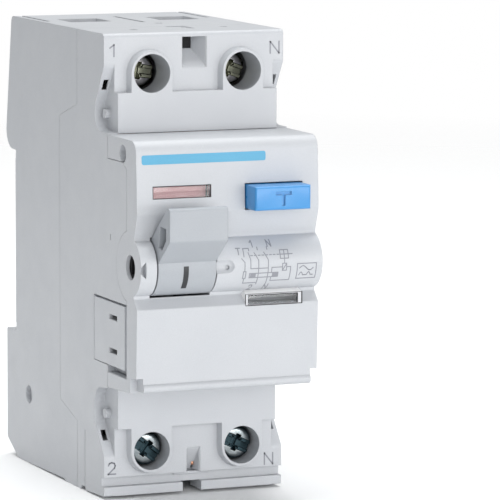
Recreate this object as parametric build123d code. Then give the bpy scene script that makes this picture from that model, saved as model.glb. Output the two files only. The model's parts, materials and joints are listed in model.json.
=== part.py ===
from build123d import *
import os
from math import cos, radians, sin

# Residual current device, two poles, two modules wide, on a 35 mm top-hat rail.
# Millimetres. +X is right as seen from the front, the front faces -Y, +Z is up.
# The origin is on the rail seat plane, centred in the width and in the rail slot.

# ---- driving dimensions -------------------------------------------------------------
WIDTH = 35.5                    # two modules of 17.75
HALF = WIDTH / 2
SIDE_WALL = 2.05                # thickness of the outer side walls
CORE = HALF - SIDE_WALL         # inner face of the side walls
TOP = 43.4
BOTTOM = -42.6
FACE = -47.7                    # front of the two terminal blocks
SHOULDER = -49.5                # front of the plain shoulders beside the cover
SPLIT = -33.8                   # seam between rear base and front housing
MID_SPLIT = -24.6               # the same seam in the middle stretch
SEAM = 0.06                     # half of a visible moulding seam

RAIL_SLOT = 17.65               # half of the slot that takes the 35 mm rail
RAIL_LIP = 1.35                 # how far hook and clip reach over the rail edge
RAIL_GAP = 1.3                  # room behind hook and clip for the rail edge

POLE = 9.0                      # each pole lies this far from the middle
SCREW_Z = (36.1, -33.7)         # height of the upper and lower screw rows
ACCESS_RADIUS = 3.55            # screwdriver holes
PAD_RADIUS = 4.42               # arched pads round them, at the foot
PAD_TAPER = 9.5
TUNNEL_END = -42.5
ENTRY_Y = -14.3                 # axis of the cable entries
ENTRY_RADIUS = 3.6
ENTRY_MOUTH = 8.2               # side of the square mouth above the round hole

SHOULDER_TOP = (25.3, 32.7)     # height range of the upper shoulder
SHOULDER_LOW = (-29.3, -21.3)   # height range of the lower shoulder

COVER_TOP = 25.3
SCOOP_TOP = COVER_TOP + 0.15
COVER_WALL = 2.0
TONGUE = -59.0                  # front edge of the side walls under the cover
TONGUE_TOP = 20.9
TONGUE_LOW = -18.25

LID_THICKNESS = 0.75
LID_HOLES = (-8.45, -14.65)
COUPLING_RADIUS = 2.3           # holes through which devices beside it couple to the toggle

AXIS_Y = -61.0                  # axis of the toggle
AXIS_Z = 2.3
DRUM_RADIUS = 5.3
BULGE_RADIUS = 5.25
RING_RADIUS = 6.5
TOGGLE_X = (-14.4, -3.2)
TOGGLE_TIP = -71.7
TOGGLE_ANGLE = 78.0             # from on to off
CRANK = 8.0                     # radius of the toggle's drive pin
CRANK_ANGLE = 39.0              # the pin swings this far below and above the middle

CARRIER_Y = -34.0               # axis of the contact carrier
CARRIER_ANGLE = 13.6            # its fork points this far below the middle when on
HUB_RADIUS = 4.0

BUTTON_X = (3.45, 14.4)
BUTTON_Z = (12.4, 16.8)
BUTTON_FACE = -68.55

POSITION_X = (-14.65, -3.35)
POSITION_Z = (14.8, 17.1)
FAULT_X = (3.35, 14.65)
FAULT_Z = (-5.35, -3.1)

SCREW_HEAD = 3.2                # head radius
SCREW_HEAD_LENGTH = 3.0
SHANK_RADIUS = 2.5              # M5
SHANK_LENGTH = 25.2
PLATE_THICKNESS = 1.0
HEAD_TOP = (-42.4, -46.6)       # upper screws are driven in, lower ones backed out
FRAME_FRONT = -28.4
FRAME_REAR = -8.2
BAR_FRONT = -11.2
BAR_REAR = -9.7

CORE_RING_Y = -14.0             # centre of the summation transformer
CORE_RING_Z = (-13.5, -4.5)
CORE_RING_RADII = (11.4, 4.9)


# ---- helpers ------------------------------------------------------------------------
def block(x, y, z):
    """A box between two limits on each axis."""
    size = [limit[1] - limit[0] for limit in (x, y, z)]
    centre = [(limit[1] + limit[0]) / 2 for limit in (x, y, z)]
    return Pos(*centre) * Box(*size)


def outline(corners):
    """A closed face from corners of two coordinates and a corner radius."""
    points = [(corner[0], corner[1]) for corner in corners]
    radii = [corner[2] for corner in corners]
    return make_face(FilletPolyline(*points, radius=radii, close=True))


def slab(face, x):
    """A face drawn in Y and Z, extruded between two X limits."""
    placed = Plane.YZ.offset(x[0]) * face
    return extrude(placed, amount=x[1] - x[0], dir=(1, 0, 0))


def rod_x(y, z, radius, x):
    """A cylinder along X."""
    return slab(Pos(y, z) * Circle(radius), x)


def rod_y(x, z, radius, y):
    """A cylinder along Y."""
    length = y[1] - y[0]
    return Pos(x, (y[0] + y[1]) / 2, z) * Rot(90, 0, 0) * Cylinder(radius, length)


def rod_z(x, y, radius, z):
    """A cylinder along Z."""
    return Pos(x, y, (z[0] + z[1]) / 2) * Cylinder(radius, z[1] - z[0])


def prism_z(x, y, radius, sides, z):
    """A regular prism along Z."""
    return extrude(Pos(x, y, z[0]) * RegularPolygon(radius, sides), amount=z[1] - z[0])


def prism_x(y, z, radius, sides, x):
    """A regular prism along X."""
    return slab(Pos(y, z) * RegularPolygon(radius, sides), x)


def prism_y(x, z, radius, sides, y):
    """A regular prism along Y."""
    face = Plane((x, y[0], z), x_dir=(1, 0, 0), z_dir=(0, 1, 0)) * RegularPolygon(radius, sides)
    return extrude(face, amount=y[1] - y[0])


def both_sides(solid):
    """A solid and its mirror image across the middle of the width."""
    return solid + mirror(solid, about=Plane.YZ)


def poles():
    """The X places of the two poles."""
    return (-POLE, POLE)


# ---- housing ------------------------------------------------------------------------
def rear_outline():
    return outline([
        (SPLIT + SEAM, TOP, 0),
        (2.0, TOP, 1.3),
        (5.7, RAIL_SLOT, 3.6),
        (0, RAIL_SLOT, 0),
        (0, -RAIL_SLOT, 0),
        (5.1, -RAIL_SLOT, 0.5),
        (5.1, -39.3, 0.8),
        (-1.3, BOTTOM, 1.0),
        (-26.3, -42.2, 0.4),
        (-27.9, BOTTOM, 0.4),
        (SPLIT + SEAM, BOTTOM, 0),
        (SPLIT + SEAM, -29.9, 0),
        (MID_SPLIT + SEAM, -27.2, 0),
        (MID_SPLIT + SEAM, 26.6, 0),
        (SPLIT + SEAM, 29.4, 0),
    ])


def entry_cuts(x, top):
    """Cable entry of one pole: a square tapered mouth that leads to a round hole."""
    surface = TOP if top else BOTTOM
    inward = -1 if top else 1
    mouth_plane = Plane((x, ENTRY_Y, surface - inward * 0.2), x_dir=(1, 0, 0), z_dir=(0, 0, inward))
    mouth = extrude(mouth_plane * Rectangle(ENTRY_MOUTH, ENTRY_MOUTH), amount=1.7, taper=6)
    low, high = sorted((surface + inward, surface + inward * 6))
    return mouth + rod_z(x, ENTRY_Y, ENTRY_RADIUS, (low, high))


def rear_base():
    """Rear tub with the rail hook, the clip guide and the cable entries."""
    base = slab(rear_outline(), (-HALF, HALF))
    base -= block((-CORE, CORE), (-40, -2.2), (-25.6, 25.0))
    base -= block((-14.4, 14.4), (-40, -7.7), (27.2, 40.4))
    base -= block((-14.4, 14.4), (-40, -7.7), (-39.6, -27.6))
    base += block((-1.0, 1.0), (SPLIT + 0.3, -7.6), (27.0, 40.6))
    base += block((-1.0, 1.0), (SPLIT + 0.3, -7.6), (-39.8, -27.4))
    for x in poles():
        base -= entry_cuts(x, True)
        base -= entry_cuts(x, False)
        bar_slot = (x - 3.6, x + 3.6)
        base -= block(bar_slot, (BAR_FRONT - 0.1, BAR_REAR + 1.5), (24.9, 27.3))
        base -= block(bar_slot, (BAR_FRONT - 0.1, BAR_REAR + 1.5), (-27.7, -25.5))
    # seat pad and the deeper floors behind hook and clip
    pad_end = RAIL_SLOT - RAIL_LIP - 0.3
    base -= block((-HALF - 1, HALF + 1), (-0.2, 1), (pad_end, RAIL_SLOT))
    base -= block((-HALF - 1, HALF + 1), (-0.2, 1), (-RAIL_SLOT, -pad_end))
    # fixed hook: a lip between the side walls that reaches over the rail edge
    base += slab(outline([
        (RAIL_GAP, RAIL_SLOT + 1, 0),
        (RAIL_GAP, RAIL_SLOT - RAIL_LIP, 0.2),
        (2.2, RAIL_SLOT - RAIL_LIP, 0.5),
        (4.2, RAIL_SLOT + 1, 0),
    ]), (-CORE, CORE))
    # guide channel of the clip
    base -= block((-6.3, 6.3), (0.8, 6), (-44, -RAIL_SLOT + 0.1))
    base -= block((-7.5, 7.5), (0.8, 2.4), (-44, -RAIL_SLOT + 0.1))
    base -= block((-2.2, 2.2), (-3.4, 0.9), (-33.0, -23.0))
    # round ejector marks and a dimple on both sides
    for side in (-1, 1):
        base -= prism_x(-7.2, -29.1, 1.75, 20, sorted((side * (HALF - 1.0), side * (HALF + 1))))
    # narrow slits in the top: in the middle, and beside the side walls at the back
    base -= block((-0.3, 0.5), (-22.3, -6.5), (TOP - 1.5, TOP + 1))
    base -= block((0.9, 2.3), (-26.6, -25.4), (TOP - 1.0, TOP + 1))
    base -= both_sides(block((15.85, 16.65), (-14.8, 6), (TOP - 1.5, TOP + 1)))
    return base


def side_plate_outline():
    """The side wall of the front housing, with the tongue that runs under the cover."""
    return outline([
        (SPLIT - SEAM, TOP, 0),
        (FACE, TOP, 0.9),
        (FACE, 37.5, 1.5),
        (-43.1, 30.2, 4),
        (-42.95, SCOOP_TOP, 3.2),
        (SHOULDER, SCOOP_TOP, 0),
        (SHOULDER, TONGUE_TOP, 0),
        (-56.8, TONGUE_TOP, 0.6),
        (TONGUE, 19.9, 0.8),
        (TONGUE, TONGUE_LOW, 0),
        (SHOULDER, TONGUE_LOW, 0),
        (SHOULDER, -21.4, 0),
        (-42.6, -22.2, 3.2),
        (-42.9, -28.6, 3),
        (FACE, -34.6, 1.5),
        (FACE, -38.5, 0),
        (-46.4, -38.5, 0),
        (-46.4, -40.3, 0),
        (FACE, -40.3, 0),
        (FACE, -42.0, 0.3),
        (-38.3, -42.4, 0),
        (-37.7, -41.8, 0.2),
        (-36.1, -41.8, 0.2),
        (-35.4, BOTTOM, 0),
        (SPLIT - SEAM, BOTTOM, 0),
        (SPLIT - SEAM, -29.9, 0),
        (MID_SPLIT - SEAM, -27.2, 0),
        (MID_SPLIT - SEAM, 26.6, 0),
        (SPLIT - SEAM, 29.4, 0),
    ])


def terminal_pad(x, z, direction):
    """Arched pad round one screwdriver hole, narrower towards its front, and its tunnel."""
    edge = SHOULDER_TOP[1] if direction > 0 else SHOULDER_LOW[0]
    foot = -direction * (abs(edge - z) + 1.2)
    left, right, crown = (-PAD_RADIUS, 0), (PAD_RADIUS, 0), (0, direction * PAD_RADIUS)
    sides = Polyline(left, (-PAD_RADIUS, foot), (PAD_RADIUS, foot), right)
    arch = make_face(sides + ThreePointArc(right, crown, left))
    pad_plane = Plane((x, FACE + 0.5, z), x_dir=(1, 0, 0), z_dir=(0, -1, 0))
    pad = extrude(pad_plane * arch, amount=FACE + 0.5 - SHOULDER, taper=PAD_TAPER)
    return pad + block((x - 4.8, x + 4.8), (-46.0, TUNNEL_END), (z - 4.8, z + 4.8))


def upper_notch():
    """Notch between the upper poles: a ramp that rises to a window into the block."""
    ramp = slab(outline([
        (FACE - 1, 36.8, 0),
        (FACE, 36.8, 0),
        (-40.3, 40.1, 0),
        (-40.3, 42.5, 0),
        (FACE - 1, 42.5, 0),
    ]), (-2.4, 2.4))
    return ramp + block((-2.2, 2.2), (-40.4, -38.5), (40.2, 42.3))


def lower_notch():
    """Notch between the lower poles, whose floor slopes in from its tip down to its mouth."""
    wedge = slab(outline([
        (FACE - 1, -33.8, 0),
        (FACE, -33.8, 0),
        (FACE + 4.6, -38.5, 0),
        (FACE - 1, -38.5, 0),
    ]), (-1.35, 1.35))
    return wedge + block((0.75, 1.2), (-44.6, -40.0), (-38.2, -37.1))


def slot_chambers():
    """Hollows behind the slots in the sloping edges of the side walls."""
    upper = outline([(-45.6, 35.1, 0), (-44.15, 32.8, 0), (-38, 32.8, 0), (-38, 35.1, 0)])
    lower = outline([(-43.5, -30.0, 0), (-45.0, -32.0, 0), (-38, -32.0, 0), (-38, -30.0, 0)])
    return slab(upper, (13.8, 17.1)) + slab(lower, (13.8, 17.1))


def front_housing():
    """Front of both terminal blocks, the shoulders and the side walls between them."""
    plate = slab(side_plate_outline(), (CORE, HALF))
    plate -= rod_x(AXIS_Y + 0.4, AXIS_Z, RING_RADIUS + SEAM, (CORE - 1, HALF + 1))
    # slot in the sloping edge of each side wall, above and below
    plate -= block((16.1, 17.1), (-47.5, -36.0), (33.0, 34.9))
    plate -= block((16.1, 17.1), (-47.5, -36.0), (-31.9, -30.1))
    body = both_sides(plate)
    # upper block
    upper = slab(outline([
        (FACE, 32.0, 0),
        (FACE, TOP, 0.9),
        (SPLIT - SEAM, TOP, 0),
        (SPLIT - SEAM, TOP - 2.0, 0),
        (-45.5, TOP - 2.0, 0),
        (-45.5, 32.0, 0),
    ]), (-CORE, CORE))
    upper += block((-CORE, CORE), (SHOULDER, -46.5), SHOULDER_TOP)
    upper += block((-CORE, CORE), (SHOULDER, SPLIT - SEAM), (COVER_TOP, COVER_TOP + 1.6))
    upper += block((-3.6, 3.6), (FACE + 1, -39.2), (35.6, TOP - 1))
    # lower block
    lower = block((-CORE, CORE), (FACE, -45.5), (-38.5, -28.5))
    lower += block((-CORE, CORE), (SHOULDER, -46.5), SHOULDER_LOW)
    lower += block((-CORE, CORE), (-46.4, -44.4), (-40.3, -37.5))
    lower += block((-CORE, CORE), (-46.4, SPLIT - SEAM), (-40.3, -38.7))
    lower += block((-CORE, CORE), (SHOULDER, SPLIT - SEAM), (-22.9, SHOULDER_LOW[1]))
    lower += block((-CORE, -2.1), (FACE, -42.2), (-42.0, -40.3))
    lower += block((1.6, CORE), (FACE, -42.2), (-42.0, -40.3))
    lower += block((-3.6, 3.6), (FACE + 1, -41.2), (-39.0, -32.8))
    body += upper + lower
    # inner cheeks that close the blocks behind the finger scoops
    body += both_sides(block((14.3, CORE), (-47.0, SPLIT - SEAM), (COVER_TOP, TOP - 1)))
    body += both_sides(block((14.3, CORE), (-47.0, SPLIT - SEAM), (-38.3, SHOULDER_LOW[1])))
    body += both_sides(block((14.3, CORE), (-46.0, SPLIT - SEAM), (-39.5, -38.0)))
    body -= both_sides(slot_chambers())
    for x in poles():
        body += terminal_pad(x, SCREW_Z[0], 1)
        body += terminal_pad(x, SCREW_Z[1], -1)
    for x in poles():
        for z in SCREW_Z:
            body -= rod_y(x, z, ACCESS_RADIUS, (SHOULDER - 1, TUNNEL_END + 1))
    body -= upper_notch()
    body -= lower_notch()
    # shallow bed with two slots on the top, and two ejector marks
    body -= block((-0.4, 3.2), (-40.0, -30.0), (TOP - 0.15, TOP + 1))
    body -= block((1.3, 3.2), (-40.2, -39.7), (TOP - 0.7, TOP + 1))
    body -= block((1.9, 3.0), (-36.7, -36.0), (TOP - 0.7, TOP + 1))
    for x, y in ((-8.8, -39.6), (9.9, -38.0)):
        body -= prism_z(x, y, 0.8, 10, (TOP - 0.2, TOP + 1))
    # round lugs in the finger scoops
    for z in (28.6, -26.85):
        body += both_sides(prism_x(-45.14, z, 0.88, 14, (CORE - 0.5, CORE + 1.0)))
    # second seam line on the lower block, and the recess of the side lid
    body -= both_sides(block((HALF - 0.3, HALF + 1), (-37.9, -37.65), (-41.9, -31.0)))
    body -= block((-HALF - 1, -HALF + LID_THICKNESS + 0.05), (-59.0, -42.5), (-17.05, -4.8))
    body -= block((-HALF - 1, -HALF + 1.7), (-59.5, SHOULDER), (TONGUE_LOW, -17.0))
    for z in LID_HOLES:
        body -= block((-HALF, -CORE + 1), (-55.4, -50.0), (z - 0.5, z + 1.5))
    # narrow slit in the left side wall
    body -= block((-HALF - 1, -HALF + 0.6), (-51.15, -50.85), (6.1, 7.2))
    # blind seats of the carrier pin
    body -= prism_x(CARRIER_Y, AXIS_Z, 1.625, 8, (-CORE - 1, CORE + 1))
    return body


def cover_outline():
    return outline([
        (SHOULDER - 2 * SEAM, COVER_TOP - SEAM, 0),
        (-63.6, COVER_TOP - SEAM, 2.4),
        (-64.25, 12.0, 1.5),
        (-62.8, 7.8, 0.4),
        (-62.5, -3.3, 0.4),
        (-64.25, -5.1, 0.4),
        (-63.8, -17.65, 0),
        (-60.8, -18.0, 0),
        (-60.8, -20.6, 0),
        (SHOULDER - 2 * SEAM, -21.2, 0),
    ])


def cover_cavity():
    return outline([
        (-40, COVER_TOP - COVER_WALL, 0),
        (-61.7, COVER_TOP - COVER_WALL, 0.8),
        (-62.1, 11.6, 0.5),
        (-60.7, 8.2, 0),
        (-60.7, -3.7, 0),
        (-62.1, -5.6, 0),
        (-61.8, -16.4, 0.5),
        (-59.0, -18.8, 0.5),
        (-40, -18.8, 0),
    ])


def front_cover():
    """Raised front cover, 45 mm high, with the openings for toggle, button and windows."""
    full = (-HALF, HALF)
    cover = slab(cover_outline(), full)
    cover += rod_x(AXIS_Y, AXIS_Z, BULGE_RADIUS, full)
    # lower lip: narrower than the cover, with a bead along its edge
    lip = (-16.4, 16.4)
    cover += block(lip, (-63.8, -60.0), (-20.3, -17.4))
    cover += rod_x(-63.5, -19.5, 0.8, lip)
    cover -= slab(cover_cavity(), (-CORE, CORE))
    cover -= rod_x(AXIS_Y, AXIS_Z, 3.3, (-1.3, CORE))
    # the side walls stop where the tongues of the front housing run under them
    for side in (-1, 1):
        reach = sorted((side * (CORE - SEAM), side * (HALF + 1)))
        tongue = slab(outline([
            (-49.0, TONGUE_TOP + 2 * SEAM, 0),
            (-56.8, TONGUE_TOP + 2 * SEAM, 0.6),
            (TONGUE - 2 * SEAM, 19.9, 0.8),
            (TONGUE - 2 * SEAM, TONGUE_LOW - 2 * SEAM, 0),
            (-49.0, TONGUE_LOW - 2 * SEAM, 0),
        ]), reach)
        cover -= tongue - rod_x(AXIS_Y + 0.4, AXIS_Z, RING_RADIUS, reach)
    # toggle slot with the bearing ring on the left and a bearing web on the right
    slot = (TOGGLE_X[0] - 0.25, TOGGLE_X[1] + 0.25)
    cover -= rod_x(AXIS_Y, AXIS_Z, DRUM_RADIUS + 0.35, slot)
    cover -= block(slot, (-70, -60), (AXIS_Z - 5.5, AXIS_Z + 5.5))
    bearing = rod_x(AXIS_Y, AXIS_Z, 4.8, (-CORE - 0.5, slot[0]))
    bearing += block((slot[1], -1.3), (-62.5, -55.2), (-3.4, 7.8))
    cover += bearing
    cover -= rod_x(AXIS_Y, AXIS_Z, 3.25, (-CORE - 0.1, 0))
    cover -= both_sides(rod_x(AXIS_Y, AXIS_Z, COUPLING_RADIUS, (CORE - 1, HALF + 1)))
    cover -= both_sides(prism_x(AXIS_Y, AXIS_Z, 3.55, 12, (CORE - 0.4, HALF - 0.75)))
    cover -= both_sides(prism_x(-57.2, 22.5, 1.66, 20, (HALF - 1.2, HALF + 1)))
    # windows and button opening
    cover -= block(POSITION_X, (-66, -60), POSITION_Z)
    cover -= block((FAULT_X[0] + 0.5, FAULT_X[1] - 0.5), (-66, -60), (FAULT_Z[0] + 0.3, FAULT_Z[1] - 0.2))
    button_gap = 0.22
    button_x = (BUTTON_X[0] - button_gap, BUTTON_X[1] + button_gap)
    button_z = (BUTTON_Z[0] - button_gap, BUTTON_Z[1] + button_gap)
    cover -= block(button_x, (-66, -60), button_z)
    # sealing-wire groove beside the toggle, on both sides of it
    cover -= rod_x(-66.9, AXIS_Z, 1.45, (slot[1] - 0.1, -0.9))
    groove_end = Pos(-0.9, -66.9, AXIS_Z) * Sphere(1.45)
    cover -= groove_end
    cover -= prism_y(-0.8, AXIS_Z - 0.25, 0.45, 10, (-66.5, -65.05))
    # conical notch on the left, its point outwards
    cover -= Pos(-17.45, AXIS_Y - BULGE_RADIUS, AXIS_Z) * Rot(0, 90, 0) * Cone(0.2, 1.5, 1.5)
    return cover


def side_lid():
    """Lid over the auxiliary coupling on the left side."""
    lid = block((-HALF + 0.05, -HALF + LID_THICKNESS + 0.05), (-58.0, -42.6), (-16.95, -5.25))
    for z in LID_HOLES:
        lid -= block((-HALF - 1, -CORE), (-54.2, -50.3), (z, z + 0.95))
    return lid


def position_window():
    """Clear lens over the contact-position flag."""
    play = 0.05
    lens = block(
        (POSITION_X[0] + play, POSITION_X[1] - play),
        (-64.0, -61.6),
        (POSITION_Z[0] + play, POSITION_Z[1] - play),
    )
    return lens


def fault_window():
    """Clear lens over the fault flag, with bevelled ends, standing in the lower valley."""
    frame = slab(outline([
        (-62.55, FAULT_Z[1] + 0.25, 0),
        (-64.3, FAULT_Z[1], 0.2),
        (-64.3, FAULT_Z[0], 0.2),
        (-64.15, FAULT_Z[0] - 0.2, 0),
    ]), FAULT_X)
    lens = block((FAULT_X[0] + 0.55, FAULT_X[1] - 0.55), (-64.1, -60.9), (FAULT_Z[0] + 0.35, FAULT_Z[1] - 0.25))
    return frame - front_cover_shadow() + lens


def front_cover_shadow():
    """The cover's face behind the fault window, cut from the window so that they meet."""
    return slab(outline([
        (-50, 0, 0),
        (-62.5, -3.3 + 1.2, 0),
        (-62.5, -3.3, 0.4),
        (-64.25, -5.1, 0.4),
        (-64.1, -9.0, 0),
        (-50, -9.0, 0),
    ]), (FAULT_X[0] - 1, FAULT_X[1] + 1))


# ---- toggle and mechanism -----------------------------------------------------------
def toggle():
    """Operating lever: drum, finger lever and the crank that drives the contacts."""
    drum = rod_x(AXIS_Y, AXIS_Z, DRUM_RADIUS, TOGGLE_X)
    lever = slab(outline([
        (-66.2, 3.5, 0.6),
        (TOGGLE_TIP, 7.9, 0.5),
        (TOGGLE_TIP, 13.65, 0.45),
        (-70.6, 13.95, 0.45),
        (-62.7, 7.5, 0),
        (-61.0, 4.0, 0),
        (-64.0, 3.0, 0),
    ]), TOGGLE_X)
    body = drum + lever
    # the drum is open at the back, where the crank comes out
    body -= block((TOGGLE_X[0] + 1.3, -10.7), (-60.0, -50), (-4, 9))
    # side recess of the lever and sealing hole
    body -= slab(outline([
        (-67.0, 10.3, 0),
        (-69.9, 10.1, 0),
        (-69.8, 8.0, 0),
        (-67.9, 6.0, 0),
        (-66.2, 6.4, 0),
        (-66.6, 8.4, 0),
    ]), (TOGGLE_X[0] - 1, TOGGLE_X[0] + 2.2))
    pin_y = AXIS_Y + CRANK * cos(radians(CRANK_ANGLE))
    pin_z = AXIS_Z - CRANK * sin(radians(CRANK_ANGLE))
    crank = Pos(0, AXIS_Y, AXIS_Z) * Rot(-CRANK_ANGLE, 0, 0) * block((-10.7, -7.4), (3, CRANK + 1.6), (-1.7, 1.7))
    crank += rod_x(pin_y, pin_z, 1.0, (-7.5, -5.2))
    body += crank
    body += rod_x(AXIS_Y, AXIS_Z, 3.2, (-CORE, TOGGLE_X[0] + 1.5))
    body += rod_x(AXIS_Y, AXIS_Z, 3.2, (TOGGLE_X[1] - 1, -1.5))
    body -= rod_x(AXIS_Y, AXIS_Z, COUPLING_RADIUS, (-CORE - 1, -6.0))
    return body


def drive_shaft():
    """Bush in the toggle's hub with a square socket, through which a device beside it is driven."""
    bush = prism_x(AXIS_Y, AXIS_Z, 3.35, 16, (-HALF + 0.8, -CORE - 0.05))
    bush += prism_x(AXIS_Y, AXIS_Z, 2.25, 16, (-CORE - 0.1, -8.0))
    socket = block((-HALF, -12.0), (AXIS_Y - 1.4, AXIS_Y + 1.4), (AXIS_Z - 1.4, AXIS_Z + 1.4))
    return bush - socket


def contact_carrier():
    """Insulating carrier on its pin, with the fork that the toggle's crank pin drives."""
    carrier = prism_x(CARRIER_Y, AXIS_Z, HUB_RADIUS, 12, (-13.4, 13.4))
    carrier -= block((-4.6, 4.6), (-40, -28), (AXIS_Z + 2.4, AXIS_Z + 6))
    fork = block((-7.1, -5.4), (-21.5, -2), (-2.8, 2.8))
    fork -= block((-8, -4), (-25, -17.5), (-1.5, 1.5))
    fork = Pos(0, CARRIER_Y, AXIS_Z) * Rot(CARRIER_ANGLE, 0, 0) * fork
    carrier += fork
    for x in poles():
        carrier += block((x - 3.2, x + 3.2), (-32.8, -31.0), (AXIS_Z, 12.5))
    return carrier - rod_x(CARRIER_Y, AXIS_Z, 1.55, (-20, 20))


def carrier_pin():
    return rod_x(CARRIER_Y, AXIS_Z, 1.5, (-CORE - 0.9, CORE + 0.9))


def contact_arm(x):
    """Moving contact finger of one pole."""
    arm = block((x - 2.6, x + 2.6), (-34.0, -32.8), (7.2, 18.6))
    arm += prism_y(x, 9.8, 1.1, 10, (-34.6, -33.9))
    return arm


def moving_tip(x):
    return prism_y(x, 16.4, 1.9, 16, (-34.8, -34.0))


def fixed_tip(x):
    return prism_y(x, 16.4, 2.1, 16, (-35.62, -34.82))


def line_bar(x):
    """Upper terminal bar: from the clamp to the fixed contact."""
    bar = block((x - 3.4, x + 3.4), (BAR_FRONT, BAR_REAR), (21.9, 39.9))
    bar += block((x - 3.4, x + 3.4), (-37.0, BAR_FRONT + 0.5), (21.9, 23.4))
    bar += block((x - 2.6, x + 2.6), (-37.02, -35.62), (13.6, 23.4))
    return bar


def load_bar(x):
    """Lower terminal bar: from the clamp up to the lead that leaves the transformer."""
    bar = block((x - 3.4, x + 3.4), (BAR_FRONT, BAR_REAR), (-39.4, -23.2))
    return bar


def primary_lead(side):
    """Conductor of one pole: strap from the braid, post through the transformer, strap to the load bar."""
    x = side * POLE
    post_x = side * 2.4
    upper_z = (-0.1, 1.1)
    lower_z = (-20.0, -18.8)
    upper = block((x - 1.6, x + 1.6), (-27.0, -12.4), upper_z)
    upper += block(sorted((post_x - side * 1.6, x)), (-15.6, -12.4), upper_z)
    lower = block(sorted((post_x - side * 1.6, x + side * 1.6)), (-15.6, -12.4), lower_z)
    lower += block((x - 1.6, x + 1.6), (-15.6, BAR_REAR + 1.2), lower_z)
    tail = block((x - 1.6, x + 1.6), (BAR_REAR, BAR_REAR + 1.2), (-25.2, lower_z[1]))
    return upper + lower + tail + prism_z(post_x, CORE_RING_Y, 1.55, 12, (lower_z[0], upper_z[1]))


def flex_braid(x):
    """Flat braid between the moving finger and the lead."""
    strip = slab(outline([
        (-31.0, 6.0, 0),
        (-27.6, 6.0, 1.6),
        (-27.6, 1.1, 0),
        (-26.6, 1.1, 0),
        (-26.6, 7.0, 1.6),
        (-31.0, 7.0, 0),
    ]), (x - 1.4, x + 1.4))
    return strip


def transformer_core():
    """Summation transformer: a ring round both conductors."""
    ring = prism_z(0, CORE_RING_Y, CORE_RING_RADII[0], 32, CORE_RING_Z)
    return ring - prism_z(0, CORE_RING_Y, CORE_RING_RADII[1], 20, (CORE_RING_Z[0] - 1, CORE_RING_Z[1] + 1))


def relay_yoke():
    """Iron frame of the trip relay."""
    yoke = block((-13.0, -2.0), (-48.0, -30.0), (-18.4, -8.4))
    yoke -= block((-14, -1), (-46.4, -31.6), (-16.8, -10.0))
    return yoke - block((-9.1, -5.9), (-40.6, -37.4), (-12, -7))


def relay_coil():
    """Wound bobbin of the trip relay, with square flanges."""
    spool = prism_z(-7.5, -39.0, 3.9, 16, (-16.8, -10.0))
    spool += block((-11.9, -3.1), (-43.4, -34.6), (-16.8, -15.9))
    spool += block((-11.9, -3.1), (-43.4, -34.6), (-10.9, -10.0))
    return spool - block((-9.1, -5.9), (-40.6, -37.4), (-15.0, -9))


def relay_plunger():
    """Flat armature of the trip relay with its push head."""
    armature = block((-9.0, -6.0), (-40.5, -37.5), (-14.6, -7.0))
    return armature + prism_z(-7.5, -39.0, 2.7, 12, (-7.0, -6.2))


def position_flag():
    """Two-part flag behind the position window."""
    return block((-14.9, -3.1), (-61.5, -60.7), (13.3, 20.6))


def fault_flag():
    """Flag behind the fault window."""
    return block((3.9, 14.4), (-60.6, -59.8), (-8.3, -2.7))


def test_button():
    """Test push button with its retaining flange."""
    button = block(BUTTON_X, (BUTTON_FACE, -58.4), BUTTON_Z)
    front = button.faces().sort_by(Axis.Y)[0]
    button = fillet(front.edges(), 0.3)
    flange = block((BUTTON_X[0] - 0.8, BUTTON_X[1] + 0.8), (-61.4, -60.4), (BUTTON_Z[0] - 0.8, BUTTON_Z[1] + 0.8))
    return button + flange


def test_spring():
    """Return spring of the test button, shown as a sleeve."""
    spring = prism_y(9.05, 14.6, 2.0, 18, (-58.4, -50.6))
    return spring - prism_y(9.05, 14.6, 1.4, 14, (-59, -50))


def test_contact():
    """Contact strip under the test button."""
    strip = block((5.0, 13.1), (-50.6, -50.0), (11.6, 17.6))
    strip += block((5.0, 13.1), (-50.6, -46.0), (17.6, 18.2))
    return strip


def test_resistor():
    """Resistor of the test circuit with its two wires."""
    body = Plane.YZ.offset(5.4) * Pos(-47.5, 12.0) * RegularPolygon(1.5, 12)
    resistor = extrude(body, amount=7.4)
    return resistor + block((3.4, 14.8), (-47.8, -47.2), (11.7, 12.3))


# ---- terminals ----------------------------------------------------------------------
def clamp_frame(x, z):
    """Steel frame of one clamp, threaded for the screw."""
    frame = block((x - 4.6, x + 4.6), (FRAME_FRONT, FRAME_REAR), (z - 3.9, z + 3.9))
    frame -= block((x - 3.5, x + 3.5), (FRAME_FRONT + 3, BAR_REAR), (z - 5, z + 5))
    return frame - rod_y(x, z, SHANK_RADIUS + 0.05, (FRAME_FRONT - 1, FRAME_FRONT + 4))


def terminal_screw(x, z, head_top):
    """Clamp screw with a slotted head."""
    head_end = head_top + SCREW_HEAD_LENGTH
    head = rod_y(x, z, SCREW_HEAD, (head_top, head_end))
    slot = block((x - 4, x + 4), (head_top - 1, head_top + 1.3), (z - 0.45, z + 0.45))
    shank = prism_y(x, z, SHANK_RADIUS, 16, (head_end, head_end + SHANK_LENGTH))
    return head - slot + shank


def pressure_plate(x, z, head_top):
    """Plate on the screw's tip that presses the wire on the bar."""
    front = head_top + SCREW_HEAD_LENGTH + SHANK_LENGTH
    return block((x - 3.3, x + 3.3), (front, front + PLATE_THICKNESS), (z - 3.4, z + 3.4))


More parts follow.
